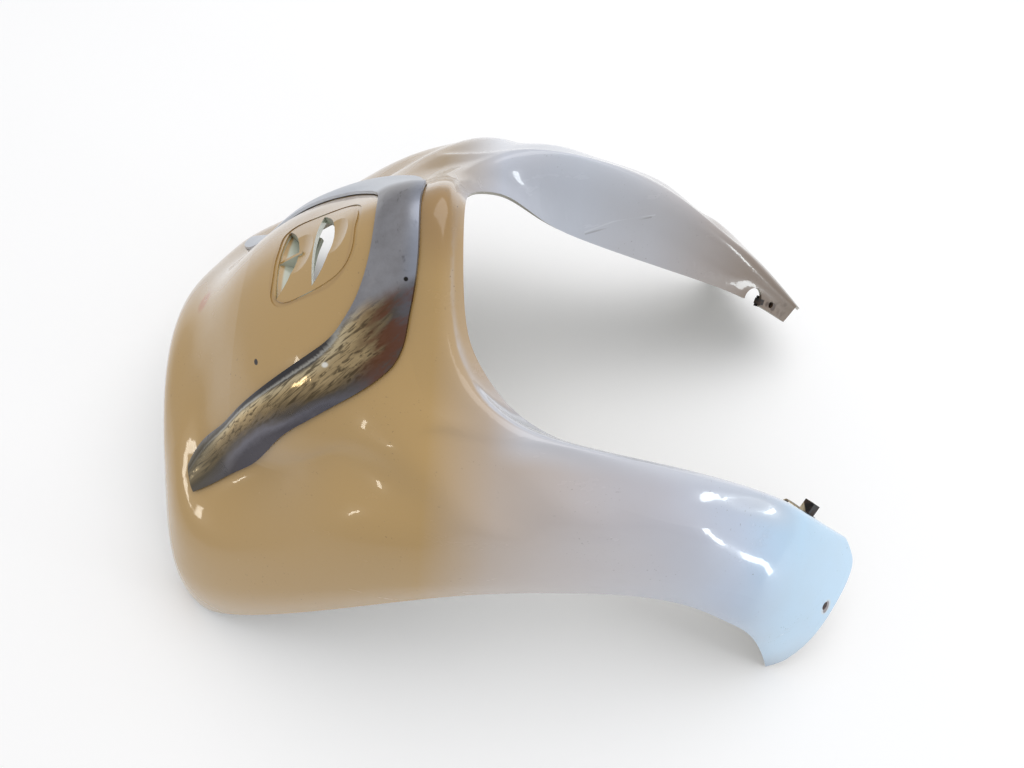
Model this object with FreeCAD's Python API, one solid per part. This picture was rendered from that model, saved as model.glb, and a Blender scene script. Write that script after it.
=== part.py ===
import FreeCAD, Part
import math
import os

os.makedirs("parts", exist_ok=True)
V = FreeCAD.Vector

# Driving sizes, in mm
cover_length = 533.0
cover_width = 392.0
cover_height = 310.0
wall = 2.6

opening_bottom = -0.107
cheek_drop = 0.228
bow_drop = 0.276
nose_width = 0.19
shoulder_width = 0.38
bow_power = 1.85

trim_lift = 0.60
trim_plate = 1.9
trim_crown = 2.6
stud_radius = 2.0
stud_hole_clearance = 0.35
stud_length = 9.0
push_nut_radius = 5.5
push_nut_thickness = 0.9
push_nut_fit = 0.05
seat_gap = 0.12

vent_pad_thickness = 2.2
vent_groove_width = 2.4
vent_groove_depth = 0.7
slot_half_length = 0.088
slot_width = 12.5
scoop_depth = 2.4
baffle_wall = 2.2
baffle_lead = 4.0
baffle_run = 15.0
baffle_depth = 16.0
baffle_margin = 14.0

screw_hole_radius = 3.0
wall_hole_radius = 3.2
notch_radius = 10.5

clip_sheet = 1.2
clip_width = 9.5
clip_tail = 6.0
clip_lip = 3.5
clip_lip_width = 5.0
clip_slack = 0.95
clip_hole_radius = 2.5
clip_nut_width = 8.5
clip_nut_height = 8.5

rib_height = 7.0
rib_thickness = 2.0

# Plan places on the face, in parts of the reference span
vent_back = -0.525
vent_front = -0.295
vent_half_width = 0.135
vent_outline = (
    (-0.307, 0.0), (-0.309, 0.045), (-0.327, 0.080), (-0.370, 0.099), (-0.435, 0.107),
    (-0.478, 0.103), (-0.495, 0.085), (-0.498, 0.045), (-0.499, 0.0),
)
slot_places = (-0.484, -0.402)
scoop_radius = 36.0
notch_x = 0.642
notch_y = 0.300
flange_hole_x = 0.706
flange_hole_y = 0.316
wall_hole_x = 0.735
wall_hole_y = 0.500
side_rib_y = 0.17
side_rib_ends = (-0.72, -0.40)
middle_rib_ends = (-0.74, -0.55)
cross_rib_x = -0.62
slipped_x = 0.682
slipped_y = 0.316
clip_arc_gap = 2.1
trim_outer = (
    (-0.183, 0.0), (-0.184, 0.075), (-0.193, 0.132), (-0.204, 0.170), (-0.213, 0.205), (-0.230, 0.235),
    (-0.257, 0.256), (-0.298, 0.275), (-0.350, 0.289), (-0.412, 0.301), (-0.475, 0.310),
    (-0.545, 0.319), (-0.609, 0.332), (-0.660, 0.348), (-0.698, 0.358),
)
trim_inner = (
    (-0.268, 0.0), (-0.276, 0.065), (-0.294, 0.112), (-0.312, 0.140), (-0.330, 0.160), (-0.347, 0.176),
    (-0.370, 0.190), (-0.402, 0.202), (-0.437, 0.213), (-0.475, 0.223), (-0.520, 0.233),
    (-0.575, 0.243), (-0.630, 0.254), (-0.685, 0.272), (-0.712, 0.305),
)
trim_columns = (0.0, 0.12, 0.3, 0.5, 0.7, 0.88, 1.0)
trim_full_width = 26.0
stud_places = ((-0.226, 0.0), (-0.318, 0.225), (-0.600, 0.290))

patch_rows = (5.0, 9.0, 13.0, 17.0)
patch_columns = (4.0, 9.0)
flange_steps = 3
face_steps = 12
rim_pace = 0.8
ridge_crown = 0.004

# The rails are drawn in parts of one reference span and scaled to the driving sizes
rail_length = 1.666
rail_width = 1.220
rail_height = 0.970
sx = cover_length / rail_length
sy = cover_width / rail_width
sz = cover_height / rail_height

# Crown line along the middle of the front face
crown_x = (-0.82, -0.745, -0.685, -0.49, -0.42, -0.34, -0.28, -0.20, -0.137, 0.0)
crown_z = (0.480, 0.590, 0.657, 0.789, 0.837, 0.895, 0.926, 0.960, 0.970, 0.970)

# Edge of the wheel opening, from the middle of its bottom to the arm's tip
edge = (
    (opening_bottom, 0.0, 0.932), (opening_bottom, 0.07, 0.905), (-0.105, 0.135, 0.850),
    (-0.094, 0.191, 0.800), (-0.065, 0.235, 0.754), (-0.017, 0.271, 0.693), (0.055, 0.283, 0.610),
    (0.15, 0.285, 0.545), (0.29, 0.283, 0.478), (0.43, 0.283, 0.413), (0.57, 0.291, 0.335),
    (0.68, 0.298, 0.255), (0.762, 0.310, 0.175),
)

# Fold between the return flange and the front face
fold = (
    (-0.137, 0.0, 0.970), (-0.137, 0.08, 0.934), (-0.136, 0.165, 0.863), (-0.125, 0.225, 0.822),
    (-0.098, 0.28, 0.790), (-0.045, 0.328, 0.770), (0.03, 0.36, 0.752), (0.14, 0.378, 0.723),
    (0.29, 0.383, 0.655), (0.43, 0.374, 0.565), (0.57, 0.360, 0.4475), (0.68, 0.357, 0.335),
    (0.797, 0.345, 0.202),
)

# Shoulder where the front face turns down into the side wall
shoulder = (
    (-0.745, 0.0, None), (-0.740, 0.12, None), (-0.720, 0.23, None), (-0.655, 0.32, None),
    (-0.53, 0.365, None), (-0.34, 0.380, None), (-0.13, 0.386, 0.736), (0.06, 0.398, 0.727),
    (0.25, 0.410, 0.662), (0.40, 0.402, 0.572), (0.54, 0.388, 0.452), (0.67, 0.380, 0.340),
    (0.828, 0.376, 0.152),
)

# Lower rim of the side wall
rim = (
    (-0.820, 0.0, 0.40), (-0.818, 0.17, 0.36), (-0.812, 0.34, 0.26), (-0.782, 0.495, 0.16),
    (-0.625, 0.567, 0.24), (-0.371, 0.585, 0.38), (-0.122, 0.579, 0.47), (0.08, 0.552, 0.41),
    (0.25, 0.533, 0.33), (0.38, 0.545, 0.30), (0.48, 0.572, 0.26), (0.56, 0.592, 0.16),
    (0.622, 0.610, 0.0),
)

# How far the wall leans in below the shoulder, and how far the arm's end sweeps round
lean = (1.0, 1.1, 1.35, 1.45, 1.5, 1.45, 1.35, 1.2, 1.1, 1.0, 1.0, 1.0, 1.0)
sweep = (0.0, 0.0, 0.0, 0.0, 0.0, 0.0, 0.0, 0.0, 0.0, 0.0, 0.1, 0.3, 0.60)


def smooth(xs, ys, x):
    slopes = [(ys[i + 1] - ys[i]) / (xs[i + 1] - xs[i]) for i in range(len(xs) - 1)]
    i = 0
    while i < len(xs) - 2 and x > xs[i + 1]:
        i += 1
    m0 = slopes[i] if i == 0 else (slopes[i - 1] + slopes[i]) / 2
    m1 = slopes[i] if i == len(slopes) - 1 else (slopes[i] + slopes[i + 1]) / 2
    h = xs[i + 1] - xs[i]
    t = (x - xs[i]) / h
    a = (2 * t ** 3 - 3 * t ** 2 + 1) * ys[i] + (3 * t ** 2 - 2 * t ** 3) * ys[i + 1]
    return a + (t ** 3 - 2 * t ** 2 + t) * h * m0 + (t ** 3 - t ** 2) * h * m1


def front(x, y):
    nose = min(1.0, max(0.0, (x + 0.45) / 0.25))
    nose = nose * nose * (3 - 2 * nose)
    prow = 1 - math.exp(-(y / nose_width) ** 2)
    bow = (abs(y) / shoulder_width) ** bow_power
    return smooth(crown_x, crown_z, x) - cheek_drop * nose * prow - bow_drop * (1 - nose) * bow


def section_keys(k):
    e, f, s, r = edge[k], fold[k], shoulder[k], rim[k]
    row = [e, tuple((a + b) / 2 for a, b in zip(e, f)), f]
    if s[2] is None:
        s_z = front(s[0], s[1])
        for t in (0.08, 0.25, 0.5, 0.75):
            x = f[0] + (s[0] - f[0]) * t
            y = f[1] + (s[1] - f[1]) * t
            row.append((x, y, front(x, y) - (front(f[0], f[1]) - f[2]) * (1 - t)))
    else:
        s_z = s[2]
        row.append(((f[0] + s[0]) / 2, (f[1] + s[1]) / 2, (f[2] + s_z) / 2 + ridge_crown))
    row.append((s[0], s[1], s_z))
    for degrees in (30, 55, 75):
        a = math.radians(degrees)
        out = math.sin(a)
        down = 1 - math.cos(a)
        fx = ((1 - sweep[k]) * out + sweep[k] * down) ** lean[k]
        fz = (1 - sweep[k]) * down + sweep[k] * (degrees / 90.0) ** 1.2
        x = s[0] + (r[0] - s[0]) * fx
        y = s[1] + (r[1] - s[1]) * out ** lean[k]
        row.append((x, y, s_z + (r[2] - s_z) * fz))
    row.append(r)
    return [V(x * sx, y * sy, z * sz) for x, y, z in row]


def section(k):
    keys = section_keys(k)
    curve = Part.BSplineCurve()
    curve.interpolate(keys)
    first, last = curve.FirstParameter, curve.LastParameter
    flange = curve.length(first, curve.parameter(keys[2]))
    face = curve.length(first, last) - flange
    start = face_steps * flange / (flange_steps * face)
    spots = [flange * i / flange_steps for i in range(flange_steps + 1)]
    for i in range(1, face_steps + 1):
        t = i / face_steps
        rise = (3 * t ** 2 - 2 * t ** 3) + (t ** 3 - 2 * t ** 2 + t) * start + (t ** 3 - t ** 2) * rim_pace
        spots.append(flange + face * rise)
    return [curve.value(curve.parameterAtDistance(min(d, curve.length(first, last)), first)) for d in spots]


def mirrored(points):
    return [V(p.x, -p.y, p.z) for p in points]


def basis(t, i, degree, x):
    if degree == 0:
        last = t[i] < t[i + 1] == t[-1] and x == t[-1]
        return 1.0 if t[i] <= x < t[i + 1] or last else 0.0
    total = 0.0
    if t[i + degree] > t[i]:
        total += (x - t[i]) / (t[i + degree] - t[i]) * basis(t, i, degree - 1, x)
    if t[i + degree + 1] > t[i + 1]:
        share = (t[i + degree + 1] - x) / (t[i + degree + 1] - t[i + 1])
        total += share * basis(t, i + 1, degree - 1, x)
    return total


def knot_line(count):
    return [0.0] * 4 + [float(i) for i in range(1, count - 3)] + [float(count - 3)] * 4


def stations(count):
    t = knot_line(count)
    return [(t[i + 1] + t[i + 2] + t[i + 3]) / 3 for i in range(count)]


def poles_through(points):
    count = len(points)
    t = knot_line(count)
    matrix = [[basis(t, i, 3, x) for i in range(count)] for x in stations(count)]
    right = list(points)
    for i in range(count):
        for j in range(i + 1, count):
            factor = matrix[j][i] / matrix[i][i]
            if factor:
                matrix[j] = [a - factor * b for a, b in zip(matrix[j], matrix[i])]
                right[j] = right[j] - right[i] * factor
    poles = [None] * count
    for i in reversed(range(count)):
        known = right[i]
        for j in range(i + 1, count):
            known = known - poles[j] * matrix[i][j]
        poles[i] = known * (1.0 / matrix[i][i])
    return poles


def surface(grid):
    across = [poles_through(row) for row in grid]
    along = [poles_through([row[j] for row in across]) for j in range(len(across[0]))]
    poles = [[column[i] for column in along] for i in range(len(grid))]
    nu, nv = len(poles), len(poles[0])
    s = Part.BSplineSurface()
    s.buildFromPolesMultsKnots(
        poles, [4] + [1] * (nu - 4) + [4], [4] + [1] * (nv - 4) + [4],
        [float(i) for i in range(nu - 2)], [float(i) for i in range(nv - 2)], False, False, 3, 3,
    )
    return s


def strip(first, second):
    s = Part.BSplineSurface()
    s.buildFromPolesMultsKnots(
        [first.getPoles(), second.getPoles()], [2, 2], first.getMultiplicities(),
        [0.0, 1.0], first.getKnots(), False, False, 1, 3,
    )
    return s.toShape()


def patch(s, us, vs):
    piece = s.copy()
    piece.segment(us[0], us[1], vs[0], vs[1])
    return piece


def closed_skin(top, bottom, u_cuts=(), v_cuts=()):
    u0, u1, v0, v1 = top.bounds()
    u_lines = [u0] + list(u_cuts) + [u1]
    v_lines = [v0] + list(v_cuts) + [v1]
    u_spans = list(zip(u_lines, u_lines[1:]))
    v_spans = list(zip(v_lines, v_lines[1:]))
    faces = []
    for us in u_spans:
        for vs in v_spans:
            upper = patch(top, us, vs)
            lower = patch(bottom, us, vs)
            faces += [upper.toShape(), lower.toShape()]
            if us[0] == u0:
                faces.append(strip(upper.uIso(us[0]), lower.uIso(us[0])))
            if us[1] == u1:
                faces.append(strip(upper.uIso(us[1]), lower.uIso(us[1])))
            if vs[0] == v0:
                faces.append(strip(upper.vIso(vs[0]), lower.vIso(vs[0])))
            if vs[1] == v1:
                faces.append(strip(upper.vIso(vs[1]), lower.vIso(vs[1])))
    shell = Part.makeShell(faces)
    shell.sewShape()
    solid = Part.makeSolid(shell)
    if solid.Volume < 0:
        solid.reverse()
    return solid


# Cover shell
half = [section(k) for k in range(len(edge))]
rows = [mirrored(r) for r in reversed(half[1:])] + half
outer = surface(rows)
u0, u1, v0, v1 = outer.bounds()
flip = 1.0 if outer.normal((u0 + u1) / 2, v0 + (v1 - v0) * 0.4).z > 0 else -1.0
inner_rows = []
for u in stations(len(rows)):
    inner_rows.append([outer.value(u, v) - outer.normal(u, v) * flip * wall for v in stations(len(rows[0]))])
inner = surface(inner_rows)
shell = closed_skin(outer, inner, patch_rows, patch_columns)


def spot(x, y):
    reach = Part.LineSegment(V(x, y, -0.2 * cover_height), V(x, y, 1.3 * cover_height))
    crossings, _ = reach.intersectCS(outer)
    top = max(crossings, key=lambda p: p.Z)
    point = V(top.X, top.Y, top.Z)
    u, v = outer.parameter(point)
    return point, outer.normal(u, v) * flip


def rounded_prism(points, low, high):
    curve = Part.BSplineCurve()
    curve.interpolate([V(x, y, low) for x, y in points], PeriodicFlag=True)
    return Part.Face(Part.Wire(curve.toShape())).extrude(V(0, 0, high - low))


def pin(point, normal, radius, below, above):
    return Part.makeCylinder(radius, below + above, point - normal * below, normal)


# Vent panel: thick pad behind it and two leaf-shaped slots with a scoop in front of each
panel = []
for x, y in vent_outline:
    panel.append((x * sx, y * sy))
for x, y in reversed(vent_outline[1:-1]):
    panel.append((x * sx, -y * sy))
pad_top = []
pad_bottom = []
groove_top = []
groove_floor = []
for i in range(9):
    x = (vent_back + (vent_front - vent_back) * i / 8.0) * sx
    line = [spot(x, vent_half_width * sy * (j - 4) / 4.0) for j in range(9)]
    pad_top.append([p - n * wall * 0.5 for p, n in line])
    pad_bottom.append([p - n * (wall + vent_pad_thickness) for p, n in line])
    groove_top.append([p + n * vent_groove_depth for p, n in line])
    groove_floor.append([p - n * vent_groove_depth for p, n in line])
pad = closed_skin(surface(pad_top), surface(pad_bottom))
pad = pad.common(rounded_prism(panel, 0.0, 1.2 * cover_height))
shell = shell.fuse(pad)
back, fore = vent_outline[-1][0] * sx, vent_outline[0][0] * sx
middle = (back + fore) / 2
shrink_x = 1 - 2 * vent_groove_width / (fore - back)
shrink_y = 1 - vent_groove_width / (max(y for x, y in vent_outline) * sy)
inside = [(middle + (x - middle) * shrink_x, y * shrink_y) for x, y in panel]
ring = rounded_prism(panel, 0.0, 1.2 * cover_height).cut(rounded_prism(inside, 0.0, 1.2 * cover_height))
shell = shell.cut(closed_skin(surface(groove_top), surface(groove_floor)).common(ring))
for x in slot_places:
    left = x * sx
    right = left + slot_width
    end = slot_half_length * sy
    back = Part.Arc(V(left, -end, 0), V(left - 0.12 * slot_width, 0, 0), V(left, end, 0)).toShape()
    front_edge = Part.Arc(V(left, end, 0), V(right, 0, 0), V(left, -end, 0)).toShape()
    slot = Part.Face(Part.Wire([back, front_edge])).extrude(V(0, 0, 1.2 * cover_height))
    point, normal = spot(right, 0.0)
    ball = Part.makeSphere(scoop_radius)
    stretch = FreeCAD.Matrix()
    stretch.scale(V(1.0, 0.9 * end / math.sqrt(2 * scoop_radius * scoop_depth), 1.0))
    ball = ball.transformGeometry(stretch)
    ball.translate(point + normal * (scoop_radius - scoop_depth))
    keep = Part.makeBox(4 * scoop_radius, 4 * end, 2 * cover_height, V(left, -2 * end, 0.0))
    shell = shell.cut(ball.common(keep)).cut(slot)

# Rain baffle behind the rear slot, with one gusset that ties it to the face
baffle_top = []
baffle_bottom = []
reach = slot_half_length * sy + baffle_margin
for j in range(7):
    point, normal = spot(slot_places[0] * sx - baffle_lead, reach * (j - 3) / 3.0)
    upslope = V(0, 1, 0).cross(normal)
    upslope.normalize()
    run = [point - normal * (wall / 2 + baffle_depth * i / 3.0) + upslope * (baffle_run * i / 3.0) for i in range(4)]
    baffle_top.append(run)
    baffle_bottom.append([p - normal * baffle_wall for p in run])
shell = shell.fuse(closed_skin(surface(baffle_top), surface(baffle_bottom)))
foot = baffle_top[3][0] - V(0, rib_thickness / 2, baffle_wall / 2)
toe = baffle_top[3][-1] - V(baffle_wall, rib_thickness / 2, baffle_wall / 2)
face_above, _ = spot(toe.x, 0.0)
gusset = Part.makePolygon([foot, toe, V(toe.x, toe.y, face_above.z - wall / 2), foot])
shell = shell.fuse(Part.Face(gusset).extrude(V(0, rib_thickness, 0)))

# Stiffening ribs on the inside of the upper face
for y in (-side_rib_y, 0.0, side_rib_y):
    ends = side_rib_ends if y else middle_rib_ends
    places = [ends[0] + (ends[1] - ends[0]) * i / 6.0 for i in range(7)]
    line = [spot(x * sx, y * sy) for x in places]
    outline = [p - n * wall * 0.5 for p, n in line]
    outline += [p - n * (wall + rib_height) for p, n in reversed(line)]
    outline = [V(p.x, y * sy - rib_thickness / 2, p.z) for p in outline]
    shell = shell.fuse(Part.Face(Part.makePolygon(outline + outline[:1])).extrude(V(0, rib_thickness, 0)))
line = [spot(cross_rib_x * sx, side_rib_y * sy * i / 4.0) for i in range(-4, 5)]
outline = [p - n * wall * 0.5 for p, n in line]
outline += [p - n * (wall + rib_height) for p, n in reversed(line)]
outline = [V(cross_rib_x * sx - rib_thickness / 2, p.y, p.z) for p in outline]
shell = shell.fuse(Part.Face(Part.makePolygon(outline + outline[:1])).extrude(V(rib_thickness, 0, 0)))

# Notch and screw hole in the return flange, and screw hole in the side wall, on both arms
for side in (-1, 1):
    point, normal = spot(notch_x * sx, side * notch_y * sy)
    shell = shell.cut(pin(point, normal, notch_radius, 5 * wall, 5 * wall))
    point, normal = spot(flange_hole_x * sx, side * flange_hole_y * sy)
    shell = shell.cut(pin(point, normal, screw_hole_radius, 3 * wall, 3 * wall))
    point, normal = spot(wall_hole_x * sx, side * wall_hole_y * sy)
    shell = shell.cut(pin(point, normal, wall_hole_radius, 3 * wall, 3 * wall))

# Plated trim: a crowned strip that follows the face round the front of the vent and up both sides
trim_rows_half = []
for a, b in zip(trim_outer, trim_inner):
    base = []
    body = []
    for c in trim_columns:
        x = (a[0] + (b[0] - a[0]) * c) * sx
        y = (a[1] + (b[1] - a[1]) * c) * sy
        point, normal = spot(x, y)
        width = math.hypot((b[0] - a[0]) * sx, (b[1] - a[1]) * sy)
        crown = trim_crown * min(1.0, width / trim_full_width) * (1 - abs(2 * c - 1) ** 2.6)
        base.append(point + normal * (trim_lift + crown))
        body.append(point + normal * (trim_lift + crown + trim_plate))
    trim_rows_half.append((base, body))
base_rows = [mirrored(r[0]) for r in reversed(trim_rows_half[1:])] + [r[0] for r in trim_rows_half]
body_rows = [mirrored(r[1]) for r in reversed(trim_rows_half[1:])] + [r[1] for r in trim_rows_half]
trim = closed_skin(surface(body_rows), surface(base_rows))
push_nuts = []
for x, y in stud_places:
    for side in ((1,) if y == 0 else (-1, 1)):
        point, normal = spot(x * sx, side * y * sy)
        seat_depth = wall
        for turn in range(8):
            across = push_nut_radius * math.cos(turn * math.pi / 4)
            aside = push_nut_radius * math.sin(turn * math.pi / 4)
            near, near_normal = spot(point.x + across, point.y + aside)
            seat_depth = max(seat_depth, (point - near + near_normal * wall).dot(normal))
        shell = shell.cut(pin(point, normal, stud_radius + stud_hole_clearance, 3 * wall, wall))
        trim = trim.fuse(pin(point, normal, stud_radius, wall + stud_length, trim_lift + trim_crown + trim_plate / 2))
        seat = point - normal * (seat_depth + seat_gap + push_nut_thickness)
        nut = Part.makeCylinder(push_nut_radius, push_nut_thickness, seat, normal)
        push_nuts.append(nut.cut(pin(seat, normal, stud_radius + push_nut_fit, wall, 2 * wall)))


def clip_nut(point, normal, toward, hole_from_bend):
    gap = wall + 2 * clip_slack
    high = gap + 2 * clip_sheet
    arm = hole_from_bend + clip_tail
    top = gap / 2 + clip_sheet
    leaf = Part.makeBox(arm, clip_width, clip_sheet, V(-arm, -clip_width / 2, -top))
    lip = Part.makeBox(clip_lip, clip_lip_width, clip_sheet, V(-clip_lip, -clip_lip_width / 2, gap / 2))
    bend = Part.makeCylinder(high / 2, clip_lip_width, V(0, -clip_lip_width / 2, 0), V(0, 1, 0))
    bend = bend.common(Part.makeBox(high, clip_lip_width, high, V(0, -clip_lip_width / 2, -high / 2)))
    bend = bend.cut(Part.makeCylinder(gap / 2, clip_lip_width, V(0, -clip_lip_width / 2, 0), V(0, 1, 0)))
    block = Part.makeBox(
        clip_nut_width, clip_nut_width, clip_nut_height,
        V(-hole_from_bend - clip_nut_width / 2, -clip_nut_width / 2, -top - clip_nut_height),
    )
    body = leaf.fuse(lip).fuse(bend).fuse(block)
    body = body.cut(Part.makeCylinder(clip_hole_radius, 6 * high, V(-hole_from_bend, 0, -4 * high)))
    across = normal.cross(toward)
    place = FreeCAD.Matrix(
        toward.x, across.x, normal.x, 0, toward.y, across.y, normal.y, 0,
        toward.z, across.z, normal.z, 0, 0, 0, 0, 1,
    )
    body.transformShape(place)
    body.translate(point + toward * hole_from_bend)
    return body.removeSplitter()


# Clip nuts on the return flanges: one home over its hole, the other slipped to the notch
point, normal = spot(flange_hole_x * sx, flange_hole_y * sy)
notch_centre, _ = spot(notch_x * sx, notch_y * sy)
toward = notch_centre - point
clip_reach = toward.Length - notch_radius + clip_arc_gap
toward = toward - normal * toward.dot(normal)
toward.normalize()
clip_home = clip_nut(point - normal * (wall / 2), normal, toward, clip_reach)
point, normal = spot(slipped_x * sx, -slipped_y * sy)
toward = V(0, 1, 0) - normal * V(0, 1, 0).dot(normal)
toward.normalize()
clip_slipped = clip_nut(point - normal * (wall / 2), normal * -1, toward, clip_reach)

# Lay the cover down so that the arms' tips and the corners of the upper rim carry it
pieces = {"cover_shell": shell, "chrome_trim": trim, "clip_nut_left": clip_slipped, "clip_nut_right": clip_home}
for i, nut in enumerate(push_nuts):
    pieces["push_nut_%d" % (i + 1)] = nut
drop = (rim[3][2] - rim[-1][2]) * sz
run = (rim[-1][0] - rim[3][0]) * sx
pitch = -math.degrees(math.atan2(drop, run))
for name in pieces:
    pieces[name].rotate(V(0, 0, 0), V(0, 1, 0), pitch)
box = shell.optimalBoundingBox()
shift = V(-(box.XMin + box.XMax) / 2, 0, -box.ZMin)
for name in pieces:
    pieces[name].translate(shift)
    print(name, pieces[name].isValid(), round(pieces[name].Volume), len(pieces[name].Solids))
    pieces[name].exportStep("parts/" + name + ".step")
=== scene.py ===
import math

import bpy
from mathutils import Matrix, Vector

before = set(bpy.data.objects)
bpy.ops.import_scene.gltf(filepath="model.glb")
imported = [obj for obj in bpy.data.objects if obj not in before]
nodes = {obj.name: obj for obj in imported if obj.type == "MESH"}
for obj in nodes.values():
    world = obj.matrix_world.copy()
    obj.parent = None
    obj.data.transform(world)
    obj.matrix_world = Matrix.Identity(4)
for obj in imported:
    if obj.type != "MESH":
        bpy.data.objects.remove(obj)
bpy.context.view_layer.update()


# Cover moulding: one thin glossy shell, injection moulded, white once and yellowed to tan over the front.
# The tan is partly painted warm light. The arms are white; the blue towards the near tip is a painted
# reflection, and the far arm's greys are painted light and shade. It darkens to brown towards its tip, which
# has road dirt.
class Socket:
    def __init__(self, sheet, out):
        self.sheet, self.out = sheet, out

    def math(self, kind, *others):
        values = {i: value for i, value in enumerate((self,) + others)}
        return self.sheet.add("ShaderNodeMath", {"operation": kind}, values)[0]

    def __add__(self, other):
        return self.math("ADD", other)

    __radd__ = __add__

    def __sub__(self, other):
        return self.math("SUBTRACT", other)

    def __rsub__(self, other):
        return self.math("MULTIPLY", -1.0).math("ADD", other)

    def __mul__(self, other):
        return self.math("MULTIPLY", other)

    __rmul__ = __mul__

    def __truediv__(self, other):
        return self.math("DIVIDE", other)

    def __pow__(self, other):
        return self.math("POWER", other)

    def __abs__(self):
        return self.math("ABSOLUTE")

    def least(self, other):
        return self.math("MINIMUM", other)

    def most(self, other):
        return self.math("MAXIMUM", other)

    def step(self, start, end):
        values = {"Value": self, "From Min": start, "From Max": end}
        return self.sheet.add("ShaderNodeMapRange", {"interpolation_type": "SMOOTHSTEP"}, values)[0]


class Finish:
    def __init__(self, name):
        self.material = bpy.data.materials.new(name)
        self.material.use_nodes = True
        self.tree = self.material.node_tree
        self.shader = self.tree.nodes["Principled BSDF"]
        where = self.add("ShaderNodeTexCoord")
        self.place, self.normal = where[3], where[1]
        self.x, self.y, self.z = self.add("ShaderNodeSeparateXYZ", {}, {0: self.place})
        self.nx, self.ny, self.nz = self.add("ShaderNodeSeparateXYZ", {}, {0: self.normal})

    def add(self, kind, settings=None, values=None):
        node = self.tree.nodes.new(kind)
        for name, value in (settings or {}).items():
            if name == "stops":
                ramp = node.color_ramp.elements
                while len(ramp) < len(value):
                    ramp.new(0.5)
                for stop, (place, colour) in zip(ramp, value):
                    stop.position, stop.color = place, colour + (1.0,)
            else:
                setattr(node, name, value)
        for name, value in (values or {}).items():
            self.feed(node.inputs[name], value)
        return [Socket(self, out) for out in node.outputs]

    def feed(self, socket, value):
        if isinstance(value, Socket):
            self.tree.links.new(value.out, socket)
        elif isinstance(value, tuple) and socket.type == "RGBA":
            socket.default_value = value + (1.0,) * (4 - len(value))
        else:
            socket.default_value = value

    def noise(self, scale, detail=3.0, rough=0.5, stretch=None):
        place = self.place
        if stretch:
            place = self.add("ShaderNodeVectorMath", {"operation": "MULTIPLY"}, {0: place, 1: stretch})[0]
        values = {"Vector": place, "Scale": scale, "Detail": detail, "Roughness": rough}
        return self.add("ShaderNodeTexNoise", {}, values)[0]

    def mix(self, share, first, second):
        return self.add("ShaderNodeMix", {"data_type": "RGBA"}, {0: share, 6: first, 7: second})[2]

    def near(self, spot, radius, soft, stretch=(1.0, 1.0, 1.0)):
        away = self.add("ShaderNodeVectorMath", {"operation": "SUBTRACT"}, {0: self.place, 1: spot})[0]
        away = self.add("ShaderNodeVectorMath", {"operation": "MULTIPLY"}, {0: away, 1: stretch})[0]
        length = self.add("ShaderNodeVectorMath", {"operation": "LENGTH"}, {0: away})[1]
        return 1.0 - length.step(radius, radius + soft)

    def line(self, start, end, width):
        run = Vector(end) - Vector(start)
        away = self.add("ShaderNodeVectorMath", {"operation": "SUBTRACT"}, {0: self.place, 1: start})[0]
        along = self.add("ShaderNodeVectorMath", {"operation": "DOT_PRODUCT"}, {0: away, 1: tuple(run)})[1]
        along = (along / run.length_squared).most(0.0).least(1.0)
        reach = self.add("ShaderNodeVectorMath", {"operation": "SCALE"}, {0: tuple(run), "Scale": along})[0]
        gap = self.add("ShaderNodeVectorMath", {"operation": "DISTANCE"}, {0: away, 1: reach})[1]
        return 1.0 - gap.step(width * 0.4, width)

    def bump(self, height, distance):
        return self.add("ShaderNodeBump", {}, {"Height": height, "Distance": distance, "Strength": 1.0})[0]

    def wear(self, **values):
        for name, value in values.items():
            self.feed(self.shader.inputs[name.replace("_", " ")], value)

    def coat(self, piece):
        piece.data.materials.clear()
        piece.data.materials.append(self.material)


shell = Finish("moulding")
tan = (0.455, 0.290, 0.105)
arms_start, arms_length = -0.10, 0.36
along = (shell.x - arms_start) / arms_length
# Tone along the arms, with painted light: warm on the tan, a blue reflection near the tip, shade on the far
# arm.
near_arm_tone_and_painted_light = shell.add("ShaderNodeValToRGB", {"stops": (
    (0.0, tan), (0.08, tan), (0.20, (0.490, 0.405, 0.340)), (0.33, (0.515, 0.475, 0.475)),
    (0.50, (0.525, 0.535, 0.605)), (0.66, (0.500, 0.585, 0.735)), (0.82, (0.465, 0.700, 0.920)),
    (1.0, (0.480, 0.730, 0.960)),
)}, {0: along})[0]
far_arm_tone_and_painted_light = shell.add("ShaderNodeValToRGB", {"stops": (
    (0.0, (0.345, 0.230, 0.110)), (0.07, (0.345, 0.245, 0.135)), (0.19, (0.525, 0.550, 0.620)),
    (0.36, (0.560, 0.590, 0.660)), (0.54, (0.500, 0.500, 0.530)), (0.68, (0.390, 0.350, 0.335)),
    (0.80, (0.255, 0.200, 0.160)), (1.0, (0.150, 0.105, 0.070)),
)}, {0: along})[0]
colour = shell.mix(shell.y.step(-0.01, 0.06), near_arm_tone_and_painted_light, far_arm_tone_and_painted_light)

# Painted light: the return flange and the fold beside it are painted paler as a highlight, and the near tip's
# underside and the crown are painted darker as shade.
before_tip = 1.0 - shell.x.step(0.16, 0.20)
side_flange_highlight = shell.ny.step(0.12, 0.42) * shell.x.step(-0.075, -0.045) * before_tip
front_flange_highlight = shell.nx.step(0.62, 0.86) * shell.x.step(-0.072, -0.062) * (1.0 - shell.x.step(-0.03, 0.0))
fold_highlight = shell.y.step(-0.136, -0.120) * shell.x.step(-0.040, -0.010) * before_tip
painted_flange_highlight = side_flange_highlight.most(front_flange_highlight).most(fold_highlight * 0.8) * (1.0 - shell.y.step(0.03, 0.06))
colour = shell.mix(painted_flange_highlight * 0.85, colour, (0.590, 0.620, 0.690))
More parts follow.
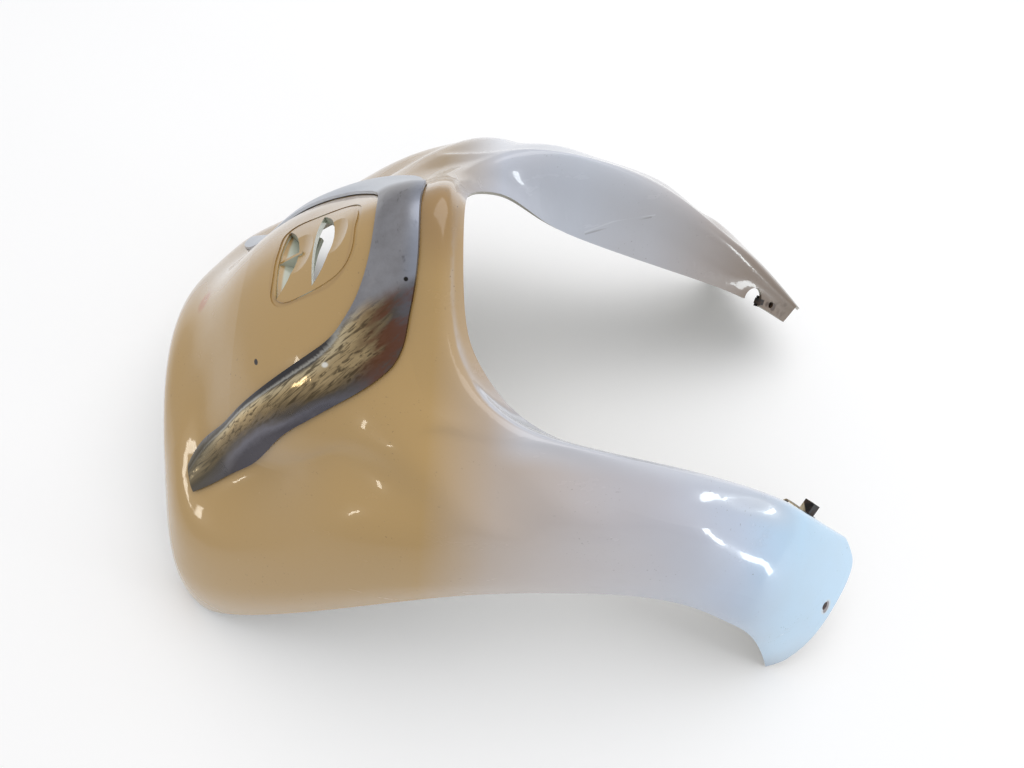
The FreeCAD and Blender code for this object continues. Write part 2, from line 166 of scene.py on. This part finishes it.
# Painted shade: the near tip is darkened towards its underside.
near_tip = shell.x.step(0.17, 0.21) * (1.0 - shell.y.step(-0.12, -0.08))
under_tip_shade = near_tip * (1.0 - shell.z.step(0.0, 0.040))
colour = shell.mix(under_tip_shade * 0.7, colour, (0.300, 0.390, 0.500))
# Painted shade: the crown is darkened.
crown_shade = shell.z.step(0.255, 0.279) * (1.0 - shell.x.step(-0.066, -0.055))
colour = shell.mix(crown_shade, colour, (0.330, 0.200, 0.075))
cloud = shell.noise(7.0, 4.0, 0.55)
colour = shell.mix((cloud - 0.42).most(0.0) * 0.5, colour, (0.40, 0.255, 0.115))

# The inside of the shell stayed pale, and so did the baffle behind the slots and the slots' own walls.
# The depth below the face is measured from a sloped face that bows down to both sides.
inside = 1.0 - shell.nz.step(-0.12, 0.02)
face_x, face_z, face_slope, face_bow = -0.1551, 0.2283, 0.894, 7.8
depth = (shell.x - face_x) * face_slope + face_z - shell.y * shell.y * face_bow - shell.z
slot_wall = (1.0 - shell.nz.step(0.30, 0.50)) * depth.step(0.0002, 0.0010)
behind_vent = shell.near((-0.166, 0.0, 0.203), 0.030, 0.004, (1.0, 0.62, 0.8))
behind_vent = behind_vent * depth.step(0.0040, 0.0060).most(slot_wall)
colour = shell.mix(inside, colour, (0.43, 0.41, 0.35))
colour = shell.mix(behind_vent, colour, (0.50, 0.53, 0.44))

# The groove round the vent panel is painted darker in a patchy line; dark specks lie along the fold of the
# opening.
panel_x, panel_half_length, panel_half_width, panel_power = -0.1525, 0.0280, 0.0343, 3.4
lengthwise = abs((shell.x - panel_x) / panel_half_length) ** panel_power
widthwise = abs(shell.y / panel_half_width) ** panel_power
groove_ring, groove_soft = 0.965, 0.055
groove = abs((lengthwise + widthwise) ** (1.0 / panel_power) - groove_ring).step(groove_soft, 0.0)
groove = groove * shell.z.step(0.17, 0.18)
colour = shell.mix(groove * (0.10 + shell.noise(60.0) * 0.25), colour, (0.24, 0.125, 0.055))
pits = shell.noise(520.0, 1.0).step(0.70, 0.76)
fold = shell.line((-0.0668, 0.010, 0.279), (-0.0620, -0.052, 0.245), 0.006)
patchy = shell.noise(26.0, 2.0).step(0.50, 0.68)
colour = shell.mix((pits * (fold * 0.9 + patchy * 0.35)).least(1.0), colour, (0.075, 0.050, 0.035))
smears = shell.noise(34.0, 4.0, 0.7, (0.5, 1.0, 1.6)).step(0.58, 0.80)
colour = shell.mix(smears * shell.x.step(0.10, 0.19) * 0.30, colour, (0.30, 0.26, 0.25))

# Single marks: a chip in the face, an orange stain at its rear, a long scratch on the far arm, and brown dirt
# at the screw holes. The dark disc at the near wall hole is painted shade of the hole's inside, with brown
# stain and a paler ring round it.
chip = shell.near((-0.1839, -0.0597, 0.1828), 0.0013, 0.0007, (1.0, 0.75, 1.0))
stain = shell.near((-0.2389, 0.0105, 0.1465), 0.0030, 0.0050, (1.0, 0.6, 1.0))
stain = stain * shell.noise(240.0).step(0.25, 0.40)
scratch_bend = (0.0600, 0.1038, 0.1672)
scratch = shell.line((0.0380, 0.0954, 0.1613), scratch_bend, 0.0009)
scratch = scratch.most(shell.line(scratch_bend, (0.0928, 0.1104, 0.1719), 0.0007))
dark_edge = shell.line((0.0385, 0.0950, 0.1597), (0.0900, 0.1094, 0.1700), 0.0010)
groove_dirt = shell.line((0.2195, 0.1000, 0.0845), (0.2255, 0.1020, 0.0800), 0.0034)
groove_dirt = groove_dirt * shell.noise(300.0).step(0.25, 0.55)
hole_dirt = shell.near((0.2262, 0.1025, 0.0785), 0.0034, 0.0012).most(groove_dirt)
tip_dirt = shell.near((0.2350, 0.1020, 0.0740), 0.0075, 0.0060) * shell.noise(150.0, 4.0).step(0.42, 0.62)
near_hole = (0.2387, -0.1607, 0.0517)
# Painted shade inside the near wall hole, with a brown stain round it.
wall_hole_shade_and_stain = shell.near(near_hole, 0.0037, 0.0012, (1.25, 0.80, 0.85))
wall_rim = shell.near(near_hole, 0.0054, 0.0016) - wall_hole_shade_and_stain
colour = shell.mix(stain * 0.9, colour, (0.40, 0.130, 0.020))
colour = shell.mix(dark_edge * 0.35, colour, (0.16, 0.14, 0.13))
colour = shell.mix(scratch * 0.50, colour, (0.66, 0.68, 0.72))
colour = shell.mix(tip_dirt * 0.55, colour, (0.085, 0.052, 0.030))
colour = shell.mix(hole_dirt * 0.85, colour, (0.055, 0.028, 0.014))
colour = shell.mix(wall_rim.most(0.0) * 0.5, colour, (0.62, 0.60, 0.55))
colour = shell.mix(wall_hole_shade_and_stain * 0.9, colour, (0.105, 0.045, 0.022))
colour = shell.mix(chip, colour, (0.015, 0.010, 0.008))
gloss = 0.20 + shell.noise(90.0, 3.0) * 0.08 + smears * 0.10 + inside * 0.25
shell.wear(Base_Color=colour, Roughness=gloss, Coat_Weight=0.75 - inside * 0.6)
shell.wear(Coat_Roughness=0.035, IOR=1.46)
ripple = shell.noise(14.0, 2.0) * 0.20 + shell.noise(420.0, 2.0) * 0.010
shell.wear(Normal=shell.bump(ripple, 0.0007))
shell.coat(nodes["cover_shell"])

# Trim: a plated plastic strip held by studs. Its middle is hazed and scuffed, the near wing is still bright.
# On the bright part, straw and brown streaks between dark bands along its upper and outer edges are painted
# reflections, and one small white glint is a painted highlight.
trim = Finish("plating")
slant = trim.y - (trim.x + 0.0905) * 0.32 + trim.noise(70.0, 3.0) * 0.008
haze = slant.step(-0.0445, -0.0335)
scuff = trim.noise(46.0, 5.0, 0.7)
marks = trim.noise(150.0, 3.0, 0.65, (1.0, 0.35, 1.0)).step(0.60, 0.72)

# The roll runs over the strip's crown, from its upper edge to its outer one. The painted reflection streaks
# lie along the near wing, so their place is turned to the wing's own three ways, with the first pressed
# together.
roll = trim.nx * 0.45 - trim.ny * 0.75 - trim.nz * 0.45
roll_start, roll_length = -0.42, 0.75
wing_ways = ((-0.11, -0.05, -0.12), (-0.10, 0.95, -0.31), (0.76, -0.13, -0.64))
reaches = {}
for i, way in enumerate(wing_ways):
    reaches[i] = trim.add("ShaderNodeVectorMath", {"operation": "DOT_PRODUCT"}, {0: trim.place, 1: way})[1]
wing = trim.add("ShaderNodeCombineXYZ", {}, reaches)[0]
values = {"Vector": wing, "Scale": 125.0, "Detail": 5.0, "Roughness": 0.62}
reflection_streak = trim.add("ShaderNodeTexNoise", {}, values)[0]
painted_wing_reflection = trim.add("ShaderNodeValToRGB", {"stops": (
    (0.00, (0.060, 0.058, 0.062)), (0.16, (0.085, 0.078, 0.075)), (0.27, (0.640, 0.530, 0.340)),
    (0.44, (0.470, 0.350, 0.190)), (0.56, (0.230, 0.170, 0.095)), (0.68, (0.110, 0.096, 0.085)),
    (0.82, (0.150, 0.145, 0.165)), (1.00, (0.075, 0.070, 0.080)),
)}, {0: (roll - roll_start) / roll_length + (reflection_streak - 0.5) * 0.32})[0]
drawn_out = trim.add("ShaderNodeVectorMath", {"operation": "MULTIPLY"}, {0: wing, 1: (0.45, 1.0, 1.0)})[0]
values = {"Vector": drawn_out, "Scale": 560.0, "Detail": 3.0, "Roughness": 0.50, "Distortion": 0.9}
reflection_blades = trim.add("ShaderNodeTexNoise", {}, values)[0].step(0.47, 0.64)
reflection_blades = reflection_blades * roll.step(-0.30, -0.22) * (1.0 - roll.step(0.02, 0.12))
painted_wing_reflection = trim.mix(reflection_blades * 0.80, painted_wing_reflection, (0.070, 0.052, 0.030))
rolled_edge_highlight = roll.step(-0.36, -0.30) * (1.0 - roll.step(-0.30, -0.26))
painted_wing_reflection = trim.mix(rolled_edge_highlight * 0.6, painted_wing_reflection, (0.620, 0.600, 0.540))
corner = trim.x.step(-0.122, -0.100)
painted_wing_reflection = trim.mix(corner * reflection_streak.step(0.40, 0.60) * 0.8, painted_wing_reflection, (0.160, 0.062, 0.032))
wing_end = 1.0 - trim.x.step(-0.232, -0.190)
painted_wing_reflection = trim.mix(wing_end * 0.75, painted_wing_reflection, (0.150, 0.130, 0.095))
glint = trim.near((-0.1359, -0.0746, 0.2100), 0.0010, 0.0016, (0.8, 1.2, 1.0))
painted_wing_reflection = trim.mix(glint, painted_wing_reflection, (0.95, 0.92, 0.84))

# The hazed middle is grey-lilac with dark scuffs and one nick. Along its outer edge and on the far wing it is
# painted bluer and paler, as reflections.
hazed_wear_and_reflections = trim.mix((scuff - 0.35).most(0.0) * 1.6, (0.300, 0.298, 0.318), (0.175, 0.165, 0.166))
hazed_wear_and_reflections = trim.mix(marks * 0.55, hazed_wear_and_reflections, (0.080, 0.072, 0.072))
# Painted reflection: bluer along the outer edge, paler on the far wing.
outer = trim.x.step(-0.096, -0.084) * haze
hazed_wear_and_reflections = trim.mix(outer * 0.65, hazed_wear_and_reflections, (0.330, 0.365, 0.450))
hazed_wear_and_reflections = trim.mix(trim.y.step(0.020, 0.040) * 0.9, hazed_wear_and_reflections, (0.600, 0.630, 0.680))
nick = trim.near((-0.0902, -0.0399, 0.2555), 0.0010, 0.0007)
shade = trim.mix(nick, trim.mix(haze, painted_wing_reflection, hazed_wear_and_reflections), (0.02, 0.018, 0.016))
trim.wear(Base_Color=shade, Metallic=1.0 - haze * 0.15, Roughness=0.10 + haze * 0.26 + scuff * 0.06)
trim.wear(Normal=trim.bump(trim.noise(52.0, 4.0) + marks * 0.1, 0.0004))
trim.coat(nodes["chrome_trim"])

# Clip nuts: folded spring steel with a threaded block, nearly black with brown rust. The slipped one kept a
# ridged cream coating on half of its upper side.
for name, coated in (("clip_nut_left", True), ("clip_nut_right", False)):
    clip = Finish(name + "_steel")
    rust = clip.noise(190.0, 4.0, 0.6).step(0.42, 0.62)
    steel = clip.mix(rust, (0.010, 0.009, 0.010), (0.045, 0.024, 0.014))
    if coated:
        ridges = clip.noise(60.0, 1.0, 0.5, (1.0, 1.0, 14.0)).step(0.35, 0.65)
        cream = clip.mix(ridges, (0.62, 0.52, 0.36), (0.16, 0.11, 0.07))
        side = (1.0 - clip.nx.step(-0.75, -0.45)) * (1.0 - clip.x.step(0.2135, 0.2145))
        steel = clip.mix(side, steel, cream)
    clip.wear(Base_Color=steel, Metallic=0.25 - rust * 0.2, Roughness=0.38 + rust * 0.3)
    clip.wear(Normal=clip.bump(clip.noise(320.0, 3.0), 0.0002))
    clip.coat(nodes[name])

# Push nuts: thin sprung washers pressed on the studs behind the shell, dull with a little rust.
washer = Finish("washer_steel")
rust = washer.noise(240.0, 4.0, 0.6).step(0.50, 0.66)
washer.wear(Base_Color=washer.mix(rust, (0.17, 0.17, 0.18), (0.14, 0.07, 0.035)), Metallic=0.9 - rust * 0.6)
washer.wear(Roughness=0.34 + rust * 0.30, Normal=washer.bump(washer.noise(400.0, 2.0), 0.0001))
for name in nodes.keys():
    if name.startswith("push_nut"):
        washer.coat(nodes[name])

# Floor: a wide pale sheet that keeps the shadow. The camera and mirror-like surfaces see it as white.
floor_width, floor_gap = 30.0, 0.0005
bpy.ops.mesh.primitive_plane_add(size=floor_width, location=(0.0, 0.0, -floor_gap))
floor = bpy.context.object
floor.name = "floor"
sheet = Finish("floor_sheet")
grain = sheet.mix(sheet.noise(3.0, 2.0), (0.86, 0.86, 0.86), (0.88, 0.88, 0.88))
path = {socket.out.name: socket for socket in sheet.add("ShaderNodeLightPath")}
seen = path["Is Camera Ray"].most(path["Is Glossy Ray"]).most(path["Is Transmission Ray"])
sheet.wear(Base_Color=sheet.mix(seen, grain, (1.0, 1.0, 1.0)), Roughness=0.9)
floor.data.materials.append(sheet.material)

# Light: an even white surround, a wide soft panel overhead, a tall window beyond the arms and a small lamp
# beyond the upper rim, which give the crisp reflections on the gloss.
world = bpy.data.worlds.new("surround")
bpy.context.scene.world = world
world.use_nodes = True
back = world.node_tree.nodes["Background"]
back.inputs["Color"].default_value = (0.97, 0.98, 1.0, 1.0)
back.inputs["Strength"].default_value = 0.66
for name, place, aim, width, height, power, tint in (
    ("overhead", (0.3, 0.5, 2.2), (0.0, 0.0, 0.1), 2.4, 2.4, 26.0, (1.0, 0.99, 0.98)),
    ("window", (1.60, -0.73, 0.22), (0.1, -0.1, 0.12), 0.20, 0.42, 2.8, (0.90, 0.97, 1.0)),
    ("lamp", (-1.50, -0.63, 0.61), (-0.1, -0.1, 0.15), 0.05, 0.15, 0.28, (1.0, 0.94, 0.82)),
):
    light = bpy.data.lights.new(name, "AREA")
    light.shape, light.size, light.size_y, light.energy, light.color = "RECTANGLE", width, height, power, tint
    holder = bpy.data.objects.new(name, light)
    bpy.context.collection.objects.link(holder)
    holder.location = place
    holder.rotation_euler = (Vector(aim) - Vector(place)).to_track_quat("-Z", "Y").to_euler()

# Camera: placed and aimed as the photograph was taken, a short lens close to the cover.
film_width, focal_pixels, picture_pixels = 36.0, 770.0, 1024.0
camera = bpy.data.objects.new("camera", bpy.data.cameras.new("camera"))
bpy.context.collection.objects.link(camera)
camera.data.sensor_width = film_width
camera.data.lens = film_width * focal_pixels / picture_pixels
camera.data.clip_start = 0.01
camera.location = (-0.06374, -0.32, 0.61364)
camera.rotation_euler = tuple(math.radians(a) for a in (30.6725, -6.4934, 1.0734))
bpy.context.scene.camera = camera
bpy.context.scene.view_settings.view_transform = "Standard"
